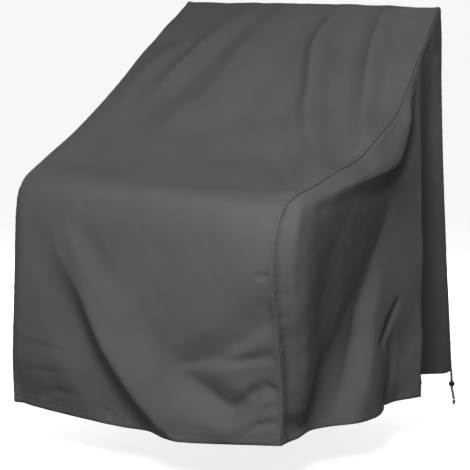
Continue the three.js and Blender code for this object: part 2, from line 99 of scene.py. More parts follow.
def shown(name, bm, finish):
    """A finished piece: its mesh at the origin, smooth, in one finish, riding on the cover."""
    for face in bm.faces:
        face.smooth = True
    mesh = bpy.data.meshes.new(name)
    bm.to_mesh(mesh)
    bm.free()
    mesh.materials.append(finish)
    piece = bpy.data.objects.new(name, mesh)
    bpy.context.scene.collection.objects.link(piece)
    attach(piece, "root")
    return piece


def braided_tube(bm, line, radius, sides=CORD_SIDES):
    """A round tube along a line of points, with a braid raised on it and UVs in metres round it."""
    rings = len(line) - 1
    grid = bmesh.ops.create_grid(bm, x_segments=sides, y_segments=rings, size=1)["verts"]
    uv = bm.loops.layers.uv.get("UVMap") or bm.loops.layers.uv.new("UVMap")
    places = {v: (round((v.co.x + 1) / 2 * sides), round((v.co.y + 1) / 2 * rings)) for v in grid}
    run = np.concatenate([[0], np.cumsum(np.linalg.norm(np.diff(line, axis=0), axis=1))])
    ahead = np.gradient(line, axis=0)
    ahead /= np.linalg.norm(ahead, axis=1, keepdims=True)
    aside = np.cross(ahead, NO_CORDS_WAY)
    aside /= np.linalg.norm(aside, axis=1, keepdims=True)
    across = np.cross(ahead, aside)
    for face in {f for v in grid for f in v.link_faces}:
        for loop in face.loops:
            i, j = places[loop.vert]
            loop[uv].uv = (i / sides * math.pi * 2 * radius / 1000, run[j] / 1000)
    for v, (i, j) in places.items():
        turn = i / sides * 2 * math.pi
        lean = run[j] / BRAID_TURN * 2 * math.pi
        one_way, other_way = (abs(math.sin(BRAID_YARNS * turn + way * 2 * lean)) for way in (1, -1))
        reach = radius - BRAID_DEPTH * one_way * other_way
        out = math.cos(turn) * aside[j] + math.sin(turn) * across[j]
        v.co = held_frame(line[j] + reach * out)
    bmesh.ops.remove_doubles(bm, verts=grid, dist=SAME_PLACE)
    open_edges = [e for e in bm.edges if e.is_boundary]
    bmesh.ops.holes_fill(bm, edges=open_edges, sides=sides)
    bmesh.ops.recalc_face_normals(bm, faces=bm.faces)


class Shade:
    """One output of a shader node. Arithmetic on it adds Math nodes."""

    def __init__(self, tree, socket=None):
        self.tree, self.socket = tree, socket

    def node(self, kind, sockets, output=0, **settings):
        """A node of that kind: its settings first, then its sockets' values or links."""
        node = self.tree.nodes.new("ShaderNode" + kind)
        for name, value in settings.items():
            setattr(node, name, value)
        for name, value in sockets.items():
            if isinstance(value, Shade):
                self.tree.links.new(value.socket, node.inputs[name])
            else:
                node.inputs[name].default_value = value
        return Shade(self.tree, node.outputs[output]) if node.outputs else None

    def other(self, output):
        """Another output of the same node."""
        return Shade(self.tree, self.socket.node.outputs[output])

    def maths(self, operation, *values):
        return self.node("Math", dict(enumerate(values)), operation=operation)

    def sine(self):
        return self.maths("SINE", self)

    def __add__(self, other):
        return self.maths("ADD", self, other)

    def __sub__(self, other):
        return self.maths("SUBTRACT", self, other)

    def __rsub__(self, other):
        return self.maths("SUBTRACT", other, self)

    def __mul__(self, other):
        return self.maths("MULTIPLY", self, other)

    __radd__, __rmul__ = __add__, __mul__


def new_finish(name):
    """An empty material and the start of its nodes."""
    finish = bpy.data.materials.new(name)
    finish.use_nodes = True
    finish.node_tree.nodes.clear()
    return finish, Shade(finish.node_tree)


def braid_finish():
    """Black braided polyester: fine yarns along the braid, a little dust here and there."""
    finish, start = new_finish("black_braid")
    along = start.node("TexCoord", {}, output="UV")
    yarns = start.node("TexWave", {"Vector": along, "Scale": 900, "Distortion": 1.5, "Detail": 2},
                       wave_type="BANDS", bands_direction="DIAGONAL", output=1)
    dust = start.node("TexNoise", {"Vector": start.node("TexCoord", {}, output="Object"),
                                   "Scale": 260, "Detail": 4})
    colour = start.node("Mix", {"Factor": dust * 0.8, "A": BRAID_DARK, "B": BRAID_DUSTY},
                        data_type="RGBA", output=2)
    relief = start.node("Bump", {"Strength": 0.6, "Distance": 0.00012, "Height": yarns})
    surface = start.node("BsdfPrincipled", {"Base Color": colour, "Roughness": 0.62 + dust * 0.2,
                                            "Normal": relief})
    start.node("OutputMaterial", {"Surface": surface})
    return finish


black_braid = braid_finish()
for name, node, points in (("cord_strand_a", "drawcord_a", STRAND_A),
                           ("cord_strand_b", "drawcord_b", STRAND_B)):
    bm = bmesh.new()
    line = smooth_path(points, CORD_RING_STEP)
    braided_tube(bm, line, CORD_DIAMETER / 2)
    strand = shown(name, bm, black_braid)
    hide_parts(node)

# The cord lock is a round toggle of black plastic, 16 mm across: a button with a spring under it
# sits in a ball, and both strands go through a hole in the two. It is moulded in two parts, turned
# here as one profile, with the gap between button and ball as a groove.
LOCK_AT = (394.6, 888.2, -38)
LOCK_RADIUS, LOCK_BORE, LOCK_LIP = 8.2, 3.7, 0.7
BUTTON_FROM, BUTTON_RADIUS, GAP_WIDTH, GAP_DEPTH = math.radians(24), 7.9, math.radians(3.5), 0.9
LOCK_STEPS, LOCK_SPIN, LIP_STEPS, LIP_SKIPPED = 44, 48, 4, 0.2
LOCK_BLACK = (0.011, 0.011, 0.012, 1)


def lock_profile():
    """The toggle's outline from the lower lip round the ball to the upper lip and down the bore."""
    end = math.acos((LOCK_BORE + LOCK_LIP) / LOCK_RADIUS)
    rows = []
    for angle in np.linspace(-end, end, LOCK_STEPS):
        radius = BUTTON_RADIUS if angle > BUTTON_FROM else LOCK_RADIUS
        radius -= GAP_DEPTH * math.exp(-((angle - BUTTON_FROM) / GAP_WIDTH) ** 2)
        rows.append((radius * math.cos(angle), radius * math.sin(angle)))
    for side in (1, -1):
        height = side * abs(rows[-1 if side > 0 else 0][1])
        for turn in np.linspace(LIP_SKIPPED, 1, LIP_STEPS):
            angle = (turn if side > 0 else 1 + LIP_SKIPPED - turn) * math.pi / 2
            rows.append((LOCK_BORE + LOCK_LIP * (1 - math.sin(angle)),
                         height - side * LOCK_LIP * (1 - math.cos(angle))))
    return rows


def plastic_finish():
    """Black moulded plastic: a fine mould grain and softly varying gloss."""
    finish, start = new_finish("black_plastic")
    place = start.node("TexCoord", {}, output="Object")
    grain = start.node("TexNoise", {"Vector": place, "Scale": 2400, "Detail": 3})
    handled = start.node("TexNoise", {"Vector": place, "Scale": 160, "Detail": 2})
    relief = start.node("Bump", {"Strength": 0.35, "Distance": 0.00004, "Height": grain})
    surface = start.node("BsdfPrincipled", {"Base Color": LOCK_BLACK, "Normal": relief,
                                            "Roughness": 0.34 + handled * 0.18})
    start.node("OutputMaterial", {"Surface": surface})
    return finish


bm = bmesh.new()
rows = lock_profile()
profile = [bm.verts.new(held_frame(np.array(LOCK_AT) + (r, 0, z))) for r, z in rows]
edges = [bm.edges.new(pair) for pair in zip(profile, profile[1:] + profile[:1])]
bmesh.ops.spin(bm, geom=profile + edges, cent=held_frame(LOCK_AT), axis=(0, 0, 1),
               angle=2 * math.pi, steps=LOCK_SPIN, use_merge=True)
bmesh.ops.remove_doubles(bm, verts=bm.verts, dist=SAME_PLACE)
bmesh.ops.recalc_face_normals(bm, faces=bm.faces)
lock = shown("cord_lock_toggle", bm, plastic_finish())
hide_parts("cord_lock")

# Below the lock the two strands are tied together in one overhand knot, pulled tight. Their cut
# ends hang under it and fray into loose yarns.
KNOT_AT = np.array([400.4, 892.1, -88])
KNOT_SIZE, KNOT_FLAT, KNOT_HEIGHT, KNOT_OPENING, KNOT_STEPS = 1.12, 1.5, 0.85, 0.1, 70
KNOT_SQUEEZE, TAIL_SQUEEZE = 0.1, 0.05
KNOT_STRANDS = ((-0.9, 0), (0.9, 0.45))
TAILS = (((-1.6, -0.3, -3), (-2.2, -0.2, -6), (-2.6, 0.1, -8)),
         ((1.5, 0.3, -3), (2.0, 0.5, -5.5), (1.9, 0.9, -7.5)))
YARNS, YARN_LENGTH, YARN_SHORTEST, YARN_LONGEST = 14, 4.2, 0.6, 1.1
YARN_SPREAD, YARN_SEED, YARN_SIDES = 0.42, 4, 5
YARN_ROOT, YARN_ROOTS_WITHIN = 0.8, 0.9
YARN_RADIUS, YARN_TIP_RADIUS = 0.26, 0.1


def knot_line(lift, turn):
    """One strand's way round the knot, lifted and turned from the other's."""
    t = np.linspace(KNOT_OPENING, 2 * math.pi - KNOT_OPENING, KNOT_STEPS) + turn
    flat = np.stack([np.sin(t) + 2 * np.sin(2 * t), np.cos(t) - 2 * np.cos(2 * t)], -1) * KNOT_SIZE
    depth = -np.sin(3 * t) * KNOT_FLAT
    return KNOT_AT + np.stack([flat[:, 0], depth + lift, flat[:, 1] * KNOT_HEIGHT], -1)


bm = bmesh.new()
for lift, turn in KNOT_STRANDS:
    braided_tube(bm, knot_line(lift, turn), CORD_DIAMETER / 2 - KNOT_SQUEEZE)
fray = np.random.default_rng(YARN_SEED)
for tail in TAILS:
    line = smooth_path(KNOT_AT + np.array(tail), CORD_RING_STEP)
    braided_tube(bm, line, CORD_DIAMETER / 2 - TAIL_SQUEEZE)
    down = Vector(line[-1] - line[-2]).normalized()
    for _ in range(YARNS):
        way = (down + Vector(fray.normal(0, YARN_SPREAD, 3))).normalized()
        root = Vector(fray.uniform(-YARN_ROOTS_WITHIN, YARN_ROOTS_WITHIN, 3)) - down
        start = Vector(line[-1]) + root * YARN_ROOT
        size = YARN_LENGTH * fray.uniform(YARN_SHORTEST, YARN_LONGEST)
        middle = Vector(held_frame(start + way * size / 2))
        turned = way.to_track_quat("Z", "Y").to_matrix().to_4x4()
        bmesh.ops.create_cone(bm, cap_ends=True, segments=YARN_SIDES, depth=size / 1000,
                              radius1=YARN_RADIUS / 1000, radius2=YARN_TIP_RADIUS / 1000,
                              matrix=Matrix.Translation(middle) @ turned)
knot = shown("cord_end_knot", bm, black_braid)
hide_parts("cord_knot")

# The main panel is one strip of coated woven polyester, 0.79 m wide between its seams. It runs from
# the front hem up over the lap and the slope to the top edge and down the back. Each station gives
# its place (y, z) at the left seam, the middle and the right seam, and how far its left edge rolls.
SEAM_X = 393
ARCH_POWER = 2.5
Station = namedtuple("Station", "left middle right roll")
PROFILE = [Station(*row) for row in (
    ((-24, -1), (-62, -19), (-32, -6), 16),
    ((-27, 106), (-60, 101), (-25, 104), 16),
    ((-18, 268), (-55, 264), (-46, 268), 16),
    ((-9, 425), (-44, 420), (-68, 416), 16),
    ((-3, 495), (-34, 510), (-54, 500), 16),
    ((11, 541), (-17, 554), (-18, 554), 16),
    ((43, 571), (14, 570), (28, 574), 14),
    ((128, 615), (120, 580), (121, 591), 12),
    ((248, 670), (236, 607), (238, 615), 12),
    ((361, 732), (345, 648), (344, 635), 12),
    ((456, 790), (445, 708), (438, 678), 12),
    ((551, 854), (545, 792), (549, 736), 11),
    ((622, 895), (618, 858), (607, 802), 10),
    ((672, 927), (668, 902), (652, 856), 9),
    ((717, 951), (714, 942), (702, 907), 7),
    ((763, 981), (764, 982), (753, 967), 3),
    ((780, 991), (784, 992), (780, 990), 0),
    ((786, 972), (792, 970), (786, 966), 0),
    ((797, 800), (808, 798), (797, 796), 0),
    ((812, 613), (828, 613), (812, 611), 0),
    ((835, 398), (852, 398), (836, 396), 0),
    ((862, 178), (874, 176), (866, 176), 0),
    ((886, -4), (894, -8), (890, -2), 0),
)]
EDGE_ROW, TOP_ROW = 5, 16
ROLL_WIDTH, ROLL_POWER, ROLL_SPREAD = 42, 2.5, 0.6

# A fold is a ridge or trough along a bent path over a panel. path is the points that it passes,
# each with the fold's height there, below zero in a trough. reach is how far it spreads to the
# left and the right of someone walking along it, spread how much wider it is at its end, and sharp
# how much of it comes to a crease on each side. Folds of front and back lie in (x, z), of the
# slope in (x, y).
Fold = namedtuple("Fold", "path reach spread sharp", defaults=(1, (0, 0)))
FRONT_FOLDS = (
    Fold(((-300, 520, 0), (-245, 400, 12), (-170, 310, 21), (-135, 265, 26), (-81, 181, 33),
          (-10, 94, 39), (63, 29, 40), (110, -2, 37), (160, -30, 34)), (130, 72), 1.1, (0.4, 0.8)),
    Fold(((-295, 490, 0), (-235, 350, -9), (-190, 245, -16), (-140, 150, -22), (-75, 75, -25),
          (15, -20, -24)), (65, 95), 1.3),
    Fold(((-420, -40, -18), (-280, -40, -28), (-150, -40, -24), (-40, -40, 0)), (170, 40)),
    Fold(((-215, 490, 0), (-150, 420, -6), (-95, 350, -4)), (45, 40)),
    Fold(((396, 305, -8), (300, 238, -15), (250, 203, -16), (200, 181, -15), (150, 166, -10),
          (95, 158, 0)), (34, 95), 0.5, (0.5, 0.2)),
    Fold(((380, 206, -5), (300, 187, -9), (225, 171, -8), (160, 141, 0)), (20, 30), 0.8,
         (0.5, 0.3)),
    Fold(((100, 163, 0), (150, 135, -10), (205, 100, -16), (262, 62, -18), (290, 35, 0)), (60, 50),
         1, (0.6, 0.3)),
    Fold(((262, 62, -6), (300, 97, -12), (342, 124, -9), (392, 114, -3)), (24, 34), 1, (0.5, 0.3)),
    Fold(((60, 60, 0), (160, 45, 11), (260, 25, 14), (340, 20, 0)), (60, 60)),
    Fold(((342, 142, -4), (385, 118, -5)), (12, 12), 1, (0.8, 0.8)),
    Fold(((300, -2, 0), (330, 33, -6), (360, 43, -6), (392, 48, -4)), (16, 16), 1, (0.5, 0.5)),
    Fold(((338, 66, 0), (360, 82, -5), (392, 84, -4)), (14, 16), 1, (0.5, 0.5)),
    Fold(((345, 399, -3), (393, 399, -6)), (12, 14), 1, (0.4, 0.4)),
    Fold(((-375, 157, 0), (-290, 160, -2.5), (-190, 150, 0)), (14, 14)),
    Fold(((-375, 97, 0), (-280, 95, -2.5), (-180, 100, 0)), (14, 14)),
    Fold(((-325, 15, 0), (-270, 45, -4), (-215, 46, -3), (-165, 36, 0)), (14, 20)),
    Fold(((-140, 28, 0), (-100, 12, -3), (-75, -5, 0)), (12, 14)),
)
SLOPE_FOLDS = (
    Fold(((118, 785, 10), (108, 705, 36), (106, 660, 46), (113, 620, 49), (138, 558, 45),
          (164, 484, 37), (226, 390, 27), (307, 269, 20), (350, 200, 12), (393, 131, 3)),
         (88, 215), 0.7, (0.2, 1)),
    Fold(((62, 770, 0), (64, 705, -9), (66, 660, -13), (72, 620, -14), (98, 558, -14),
          (126, 484, -13), (188, 390, -9), (262, 275, -4), (300, 210, 0)), (48, 110), 0.8,
         (0, 0.5)),
    Fold(((245, 785, 8), (254, 715, 30), (268, 641, 34), (288, 579, 30), (306, 518, 24),
          (337, 460, 18), (372, 400, 8)), (62, 68), 0.8, (0.2, 0.9)),
    Fold(((190, 610, 0), (208, 575, 5), (232, 515, 5), (255, 465, 0)), (22, 22)),
    Fold(((-150, 770, 3), (-195, 690, 16), (-225, 620, 25), (-240, 570, 25), (-270, 490, 19),
          (-300, 420, 4)), (60, 70), 1, (0.2, 0.8)),
    Fold(((-285, 660, 0), (-310, 585, 11), (-335, 525, 17), (-352, 458, 15), (-345, 361, 8),
          (-335, 279, 0)), (42, 42), 1, (0.2, 0.6)),
    Fold(((-70, 760, 5), (-95, 650, 22), (-112, 590, 25), (-130, 500, 22), (-178, 400, 17),
          (-190, 326, 10), (-205, 260, 0)), (130, 88), 1, (0, 0.7)),
    Fold(((110, 440, 0), (160, 340, -9), (235, 250, -11), (290, 185, -10), (340, 105, -3)),
         (34, 50)),
)
BACK_FOLDS = (
    Fold(((-230, 900, 0), (-215, 500, 6), (-190, -60, 10)), (60, 80), 1.4),
    Fold(((140, 900, 0), (165, 500, -6), (210, -60, -12)), (60, 70), 1.4),
)
FADE_IN, FADE_OUT, SEAM_EASE = 60, 30, 28
ACROSS_STEP, RUN_STEP, FOLD_STEPS = 0.004, 3, 6

right_seam = np.array([station.right for station in PROFILE], float)
RUN = np.concatenate([[0], np.cumsum(np.linalg.norm(np.diff(right_seam, axis=0), axis=1))])
EDGE_RUN, TOP_RUN, END_RUN = RUN[EDGE_ROW], RUN[TOP_ROW], RUN[-1]


def mix(a, b, share):
    return a + (b - a) * share


def smooth(value):
    value = np.clip(value, 0, 1)
    return value * value * (3 - 2 * value)


def along_profile(value_of, run):
    """One value of the stations, read smoothly along the strip."""
    return through([(at, value_of(station)) for at, station in zip(RUN, PROFILE)], run)


def left_roll(run):
    """How far the strip rounds over at its left seam."""
    return along_profile(lambda station: station.roll, run)


def strip_base(across, run):
    """The strip before its folds: across is 0 at the left seam and 1 at the right."""
    across, run = np.broadcast_arrays(np.asarray(across, float), run)
    arch = 1 - np.abs(2 * across - 1) ** ARCH_POWER
    place = [mix(-SEAM_X - ROLL_SPREAD * left_roll(run), SEAM_X, across)]
    for axis in (0, 1):
        left, middle, right = (along_profile(lambda station: station[side][axis], run)
                               for side in range(3))
        place.append(mix(left, right, across) + (middle - (left + right) / 2) * arch)
    return np.stack(place, -1)


def folds_lift(folds, a, b):
    """How far the folds of a panel lift its cloth."""
    lift = np.zeros(np.shape(a))
    for fold in folds:
        knots = np.arange(len(fold.path))
        steps = np.linspace(0, knots[-1], FOLD_STEPS * knots[-1] + 1)
        path = np.stack([through(list(zip(knots, values)), steps)
                         for values in zip(*fold.path)], -1)
        near, rise, at = np.full(lift.shape, np.inf), np.zeros(lift.shape), np.zeros(lift.shape)
        left = np.zeros(lift.shape, bool)
        for t, start, end in zip(steps, path[:-1], path[1:]):
            da, db, dh = end - start
            share = np.clip(((a - start[0]) * da + (b - start[1]) * db) / (da * da + db * db), 0, 1)
            distance = np.hypot(a - start[0] - share * da, b - start[1] - share * db)
            closer = distance < near
            near = np.where(closer, distance, near)
            rise = np.where(closer, start[2] + share * dh, rise)
            at = np.where(closer, (t + share / FOLD_STEPS) / knots[-1], at)
            left = np.where(closer, da * (b - start[1]) - db * (a - start[0]) > 0, left)
        inside = np.clip(near / (np.where(left, *fold.reach) * mix(1, fold.spread, at)), 0, 1)
        creased = np.where(left, *fold.sharp)
        lift += rise * mix((1 - inside ** 2) ** 2, (1 - inside) ** 2, creased)
    return lift


def outward(point_at, a, b, step_a, step_b):
    """The outward direction of a surface, from its points a little further both ways."""
    normal = np.cross(point_at(a + step_a, b) - point_at(a - step_a, b),
                      point_at(a, b + step_b) - point_at(a, b - step_b))
    return normal / np.linalg.norm(normal, axis=-1, keepdims=True)


# Sewing and hanging leave small marks everywhere: puckers along the seams, a groove where two
# panels meet, a hem turned up over the cord and gathered a little, and low slow waves in the
# coated cloth. Heights, widths and distances from a seam or the hem are millimetres.
GROOVE_DEPTH, GROOVE_WIDTH, GROOVE_LIPS, GROOVE_LIPS_AT = 1.5, 3, 12, 2
TURNED_STEP, TURNED_WIDTH, TURNED_EASE = 0.7, 8, 3
STITCH_FROM_SEAM, STITCH_FROM_HEM, STITCH_DIP, STITCH_DIP_WIDTH = 6.5, 23, 0.45, 1.4
HEM_STEP, HEM_STEP_PAST, HEM_STEP_EASE, HEM_EASE = 0.9, 1, 3, 8
HEM_CORD_AT, HEM_CORD_RISE, HEM_CORD_WIDTH = 8, 1.1, 5
HEM_ROUNDING, HEM_ROUND_WIDTH = 1.2, 2
GATHERED_FROM, GATHERED_TO, GATHERS_FADE = 10, 18, 34
Pucker = namedtuple("Pucker", "height shortest longest ease middle width")
PUCKERS = (Pucker(0.55, 14, 34, 5, 4, 16), Pucker(0.5, 40, 110, 8, 10, 34))
Wave = namedtuple("Wave", "height shortest longest")
GATHERS = (Wave(0.8, 16, 38), Wave(0.9, 45, 120))
SLOW_WAVES = (Wave(1.1, 90, 260), Wave(0.38, 35, 80))
RIPPLE_PARTS, RIPPLE_SUM = 8, 3
WAVE_PARTS, WAVE_SUM = 12, 4
STRIP_WAVES_SEED, STRIP_SEAM_SEEDS, STRIP_HEM_SEEDS = 11, (21, 23), (31, 33)


def ripples(along, seed, shortest, longest):
    """Uneven ripples along a line, mostly between -1 and 1, the same on every run."""
    numbers = np.random.default_rng(seed)
    lengths = numbers.uniform(shortest, longest, RIPPLE_PARTS)
    starts = numbers.uniform(0, 2 * math.pi, RIPPLE_PARTS)
    return sum(np.sin(2 * math.pi * along / length + start)
               for length, start in zip(lengths, starts)) / RIPPLE_SUM


def waves(a, b, seed, shortest, longest):
    """Low waves that cross a panel in every direction, mostly between -1 and 1."""
    numbers = np.random.default_rng(seed)
    total = 0
    for _ in range(WAVE_PARTS):
        turn, length = numbers.uniform(0, math.pi), numbers.uniform(shortest, longest)
        total = total + np.sin(2 * math.pi * (a * math.cos(turn) + b * math.sin(turn)) / length
                               + numbers.uniform(0, 2 * math.pi))
    return total / WAVE_SUM


def slow_waves(a, b, seed):
    """The waves of a coated cloth that hangs free."""
    return sum(wave.height * waves(a, b, seed + step, wave.shortest, wave.longest)
               for step, wave in enumerate(SLOW_WAVES))


def bump_at(distance, middle, width):
    return np.exp(-((distance - middle) / width) ** 2)


def seam_marks(distance, along, seed, stitched, puckered=1):
    """Groove and puckers beside a seam, and the turned cloth under it on the stitched side."""
    marks = GROOVE_DEPTH * smooth(distance / GROOVE_WIDTH) * bump_at(
        distance, GROOVE_LIPS_AT, GROOVE_LIPS)
    for step, pucker in enumerate(PUCKERS):
        rise = pucker.height * ripples(along, seed + step, pucker.shortest, pucker.longest)
        marks += puckered * rise * smooth(distance / pucker.ease) * bump_at(
            distance, pucker.middle, pucker.width)
    if stitched:
        marks += TURNED_STEP * smooth(distance / TURNED_EASE) * (
            1 - smooth((distance - TURNED_WIDTH) / TURNED_EASE))
        marks -= STITCH_DIP * bump_at(distance, STITCH_FROM_SEAM, STITCH_DIP_WIDTH)
    return marks


def hem_marks(distance, along, seed):
    """The turned hem: two layers thick, round at its fold, a cord in it, gathered a little."""
    marks = HEM_STEP * (1 - smooth((distance - STITCH_FROM_HEM - HEM_STEP_PAST) / HEM_STEP_EASE))
    marks += HEM_CORD_RISE * bump_at(distance, HEM_CORD_AT, HEM_CORD_WIDTH)
    marks -= HEM_ROUNDING * bump_at(distance, 0, HEM_ROUND_WIDTH)
    marks -= STITCH_DIP * bump_at(distance, STITCH_FROM_HEM, STITCH_DIP_WIDTH)
    gather = sum(wave.height * ripples(along, seed + step, wave.shortest, wave.longest)
                 for step, wave in enumerate(GATHERS))
    return marks + gather * smooth(distance / GATHERED_FROM) * (
        1 - smooth((distance - GATHERED_TO) / GATHERS_FADE))


def begun(run, start):
    """From 0 to 1 just after a place along the strip."""
    return smooth((run - start) / FADE_IN)


def not_over(run, end):
    """From 1 to 0 just before a place along the strip."""
    return 1 - smooth((run - end + FADE_OUT) / FADE_OUT)


def strip_surface(across, run):
    """The outside of the main panel with its folds and the marks of its making."""
    across, run = np.broadcast_arrays(np.asarray(across, float), run)
    base = strip_base(across, run)
    x, y, z = np.moveaxis(base, -1, 0)
    from_seams = across * 2 * SEAM_X, (1 - across) * 2 * SEAM_X
    lift = not_over(run, EDGE_RUN) * folds_lift(FRONT_FOLDS, x, z)
    lift += begun(run, EDGE_RUN) * not_over(run, TOP_RUN) * folds_lift(SLOPE_FOLDS, x, y)
    lift += begun(run, TOP_RUN) * folds_lift(BACK_FOLDS, x, z)
    lift += slow_waves(x, run, STRIP_WAVES_SEED)
    lift *= smooth(np.minimum(*from_seams) / SEAM_EASE)
    rolled = 1 - (1 - np.clip(from_seams[0] / ROLL_WIDTH, 0, 1)) ** ROLL_POWER
    left_share = 1 - across - (1 - np.abs(2 * across - 1) ** ARCH_POWER) / 2
    lift += left_roll(run) * left_share * rolled
    for distance, seed in zip(from_seams, STRIP_SEAM_SEEDS):
        lift += seam_marks(distance, run, seed, True)
    hems = sum(hem_marks(distance, x, seed)
               for distance, seed in zip((run, END_RUN - run), STRIP_HEM_SEEDS))
    lift += hems * smooth(np.minimum(*from_seams) / HEM_EASE)
    return base + outward(strip_base, across, run, ACROSS_STEP, RUN_STEP) * lift[..., None]


# Each side panel is one piece of the same polyester, cut to the outline of the strip's edge and
# sewn to it. It rolls out below that seam and falls to the hem in deep folds, given in (y, z). A
# roll's rows are the share of the way back along the edge, and how far the cloth rolls out there.
RIGHT_FOLDS = (
    Fold(((14, 540, 0), (20, 470, 10), (22, 400, 19), (22, 314, 28), (38, 250, 29), (48, 180, 27),
          (50, 110, 20), (52, 55, 10), (52, -30, 2)), (170, 95), 0.5, (0, 0.1)),
    Fold(((-10, 30, -8), (50, 26, -12), (105, 34, -12), (150, 50, -4)), (40, 45)),
    Fold(((225, 270, 0), (225, 220, -8), (215, 160, -18), (190, 110, -27), (165, 70, -28),
          (150, 35, -22), (140, 0, -12)), (110, 100)),
    Fold(((500, 530, -4), (484, 464, -8), (440, 394, -12), (400, 323, -17), (360, 257, -28),
          (335, 186, -38), (292, 123, -38), (240, 62, -26), (200, 15, -8), (190, -30, 0)),
         (42, 130), 1, (0.8, 0.7)),
    Fold(((560, 459, 0), (540, 384, 6), (506, 312, 14), (453, 243, 24), (405, 176, 32),
          (368, 106, 46), (325, 38, 62), (310, -20, 66)), (90, 80), 2.5),
    Fold(((508, 268, 0), (491, 252, -12), (455, 218, -23), (425, 188, -23), (405, 165, -10),
          (395, 150, 0)), (30, 8), 1, (0.5, 0.3)),
    Fold(((466, 150, -4), (464, 98, -10), (440, 42, -12), (425, 0, -6)), (34, 26)),
    Fold(((660, 800, 6), (640, 709, 16), (628, 607, 26), (622, 452, 36), (616, 374, 42),
          (604, 297, 46), (599, 219, 50), (595, 140, 56), (580, 64, 62), (577, -2, 64),
          (576, -30, 64)), (60, 150), 1.15, (0.8, 0.5)),
    Fold(((735, 840, -8), (745, 700, -20), (758, 584, -28), (770, 423, -34), (776, 260, -37),
          (784, 96, -48), (786, -30, -58)), (78, 125), 0.9, (0, 0.4)),
    Fold(((60, 566, 6), (180, 580, 11), (300, 590, 16), (400, 598, 25), (470, 612, 30),
          (520, 655, 26), (560, 705, 18), (598, 755, 6)), (60, 36), 1, (0, 0.6)),
    Fold(((280, 556, 0), (350, 566, -8), (430, 576, -16), (500, 600, -22), (560, 650, -20),
          (600, 720, -12), (612, 780, -4)), (30, 60)),
)
LEFT_FOLDS = (
    Fold(((-4, 545, 6), (4, 300, 10), (10, -60, 12)), (45, 45)),
    Fold(((150, 560, -4), (130, 300, -12), (110, -60, -20)), (60, 60), 1.3),
    Fold(((420, 700, 6), (360, 350, 22), (300, -60, 44)), (90, 100), 1.5),
    Fold(((600, 820, -4), (560, 400, -16), (530, -60, -30)), (70, 60), 1.4),
    Fold(((710, 860, 4), (690, 450, 14), (680, -60, 30)), (60, 60), 1.4),
)
RIGHT_ROLL = ((0, 30), (0.12, 36), (0.32, 34), (0.5, 22), (0.62, 9), (0.75, 6), (1, 4))
LEFT_ROLL = ((0, 26), (0.3, 20), (0.6, 10), (1, 4))
ROLL_RADIUS, ROLL_FADE_FROM, ROLL_FADE_OVER, CORNER_EASE = 16, 40, 340, 46
EDGE_PUCKERS, EDGE_SLANT = 0.35, 0.8
WAVES_SEED, SEAM_SEED, EDGE_SEED, HEM_SEED = 0, 2, 4, 6
Side = namedtuple("Side", "piece node stitches folds roll seed")
SIDES = {1: Side("right_side_cloth", "side_panel_right", "right_hem_stitches",
                 RIGHT_FOLDS, RIGHT_ROLL, 41),
         -1: Side("left_side_cloth", "side_panel_left", "left_hem_stitches",
                  LEFT_FOLDS, LEFT_ROLL, 51)}


def side_parts(side, back, up):
    """A place on a flat side panel, and how far it is from the front, rear and top seam."""
    across = (side + 1) / 2
    front = strip_base(across, up * EDGE_RUN)
    rear = strip_base(across, END_RUN - up * (END_RUN - TOP_RUN))
    over = strip_base(across, mix(EDGE_RUN, TOP_RUN, back))
    hem_front, hem_rear, edge, top = (strip_base(across, at)
                                      for at in (0, END_RUN, EDGE_RUN, TOP_RUN))
    share = (over[..., 1] - edge[1]) / (top[1] - edge[1])
    hem_z = mix(hem_front[2], hem_rear[2], share)
    y = mix(front[..., 1], rear[..., 1], share)
    z = (mix(hem_z, over[..., 2], up) + mix(front[..., 2], rear[..., 2], share)
         - mix(hem_z, mix(edge[2], top[2], share), up))
    x = (mix(front[..., 0], rear[..., 0], share)
         + up * (over[..., 0] - mix(edge[0], top[0], share)))
    return side * x, y, z, y - front[..., 1], rear[..., 1] - y, over[..., 2] - z


def side_base(side, back, up):
    """A side panel before its folds: back goes from the front seam to the rear, up from the hem."""
    x, y, z, from_front, from_rear, below = side_parts(side, back, up)
    from_corner = smooth(np.minimum(from_front, from_rear) / CORNER_EASE)
    rolled = (through(SIDES[side].roll, back) * (1 - np.exp(-np.maximum(0, below) / ROLL_RADIUS))
              * (1 - smooth((below - ROLL_FADE_FROM) / ROLL_FADE_OVER)))
    lift = folds_lift(SIDES[side].folds, y, z) * smooth(below / SEAM_EASE)
    x = x + (rolled + lift) * from_corner
    return np.stack([side * x, y, z], -1)


def side_surface(side, back, up):
    """The outside of a side panel with the marks of its making."""
    back, up = np.broadcast_arrays(np.asarray(back, float), up)
    seed = SIDES[side].seed
    x, y, z, from_front, from_rear, below = side_parts(side, back, up)
    inset = np.minimum(from_front, from_rear)
    lift = slow_waves(y, z, seed + WAVES_SEED) * smooth(np.minimum(inset, below) / SEAM_EASE)
    lift += seam_marks(np.abs(inset), z, seed + SEAM_SEED, False)
    lift += seam_marks(below * EDGE_SLANT, y, seed + EDGE_SEED, False, EDGE_PUCKERS)
    hem_z = mix(*(strip_base((side + 1) / 2, run)[2] for run in (0, END_RUN)), back)
    lift += hem_marks(np.abs(z - hem_z), y, seed + HEM_SEED) * smooth(inset / HEM_EASE)
    normal = outward(lambda a, b: side_base(side, a, b), back, up, ACROSS_STEP, ACROSS_STEP)
    return side_base(side, back, up) + side * normal * lift[..., None]


